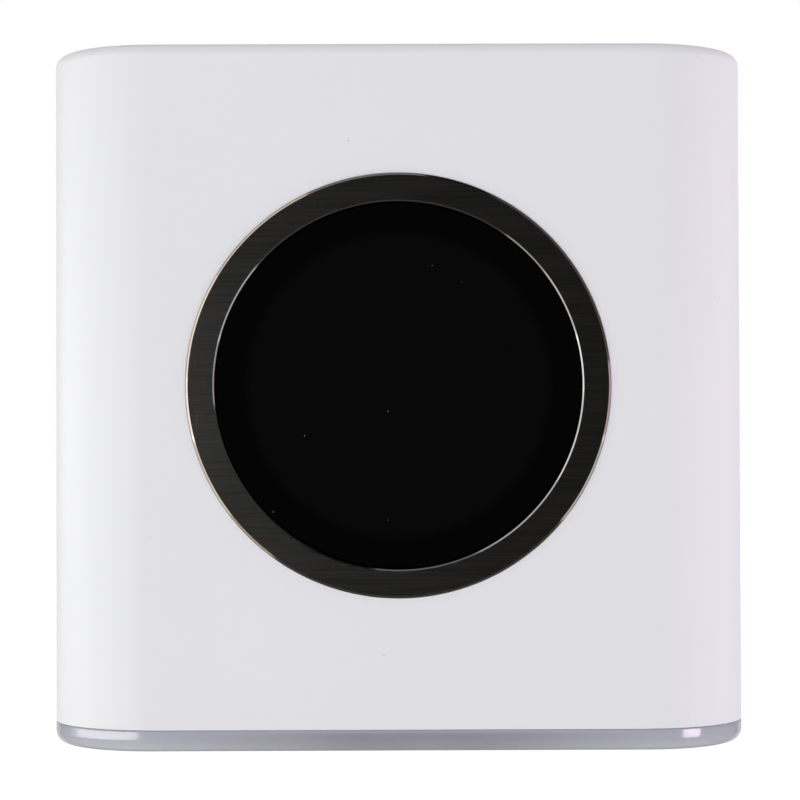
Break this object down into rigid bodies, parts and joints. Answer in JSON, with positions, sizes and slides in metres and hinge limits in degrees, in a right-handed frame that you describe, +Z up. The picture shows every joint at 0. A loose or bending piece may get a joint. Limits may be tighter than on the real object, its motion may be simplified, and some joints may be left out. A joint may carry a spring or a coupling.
{
  "type": "smart home hub",
  "caption": "White cube-shaped home network hub with a round touch display in a dark brushed ring, a translucent light base and rear network and power sockets.",
  "frame": {"origin": "on the resting surface, under the centre of the shell", "axes": "+Z up, -Y out of the display, +X to the right of someone who faces the display"},
  "size_m": [0.0996, 0.0978, 0.0996],
  "materials": {
    "shell_white": "fine satin moulded texture",
    "base_frosted": "frosted translucent polycarbonate, polished outside",
    "cover_grey": "satin moulded",
    "foot_rubber": "matte",
    "screw_steel": "zinc plated",
    "bezel_metal": "dark, brushed in straight lines, bright chamfers",
    "tape_black": "adhesive foam",
    "display_black": "polished cover glass, black behind",
    "lcd_dark": "switched off",
    "frame_plastic": "moulded",
    "board_green": "solder mask on glass fibre",
    "chip_black": "moulded epoxy",
    "pad_grey": "soft silicone",
    "sink_aluminium": "extruded",
    "tin_sheet": "tin-plated sheet",
    "ferrite_grey": "sintered",
    "can_aluminium": "drawn can",
    "socket_black": "glass-filled, moulded",
    "socket_blue": "glass-filled, moulded",
    "contact_gold": "gold flash",
    "button_grey": "moulded",
    "strip_white": "white solder mask",
    "led_lens": "phosphor lens",
    "flex_amber": "polyimide film",
    "ribbon_white": "polyester ribbon",
    "plug_cream": "moulded nylon",
    "speaker_black": "black",
    "lead_red": "insulated lead",
    "lead_grey": "coaxial jacket"
  },
  "bodies": {
    "hub": {"outer_shell": "shell_white", "light_base": "base_frosted", "bottom_plate": "cover_grey", "rubber_feet": "foot_rubber", "shell_screws": "screw_steel", "bezel_ring": "bezel_metal", "bezel_tape": "tape_black", "display_glass": "display_black", "touch_film": "lcd_dark", "lcd_panel": "lcd_dark", "glass_gasket": "tape_black", "display_carrier": "frame_plastic", "display_screws": "screw_steel", "display_board": "board_green", "display_board_screws": "screw_steel", "display_driver": "chip_black", "display_flex": "flex_amber", "display_ribbon": "ribbon_white", "ribbon_connectors": "plug_cream", "inner_frame": "frame_plastic", "main_board": "board_green", "board_screws": "screw_steel", "processor": "chip_black", "switch_chip": "chip_black", "radio_chips": "chip_black", "memory_chips": "chip_black", "thermal_pads": "pad_grey", "heat_sink": "sink_aluminium", "heat_sink_screws": "screw_steel", "radio_shields": "tin_sheet", "magnetics": "chip_black", "capacitors": "can_aluminium", "inductors": "ferrite_grey", "lan_jack": "socket_black", "lan_contacts": "contact_gold", "wan_jack": "socket_blue", "wan_contacts": "contact_gold", "usb_shell": "tin_sheet", "usb_insulator": "socket_black", "usb_contacts": "contact_gold", "power_shell": "tin_sheet", "power_insulator": "socket_black", "reset_switch": "socket_black", "port_panel": "cover_grey", "light_strip": "strip_white", "light_emitters": "led_lens", "light_flex": "flex_amber", "board_plugs": "plug_cream", "speaker": "speaker_black", "speaker_gasket": "tape_black", "speaker_lead": "lead_red", "antenna_left": "board_green", "antenna_right": "board_green", "antenna_top": "board_green", "antenna_leads": "lead_grey", "antenna_plugs": "contact_gold"},
    "reset": {"reset_button": "button_grey", "reset_stem": "button_grey"}
  },
  "joints": [
    {"name": "reset_press", "type": "slide", "parent": "hub", "child": "reset", "axis": [0, -1, 0], "range_m": [0, 0.0005], "stiffness_N_per_m": 3000}
  ]
}
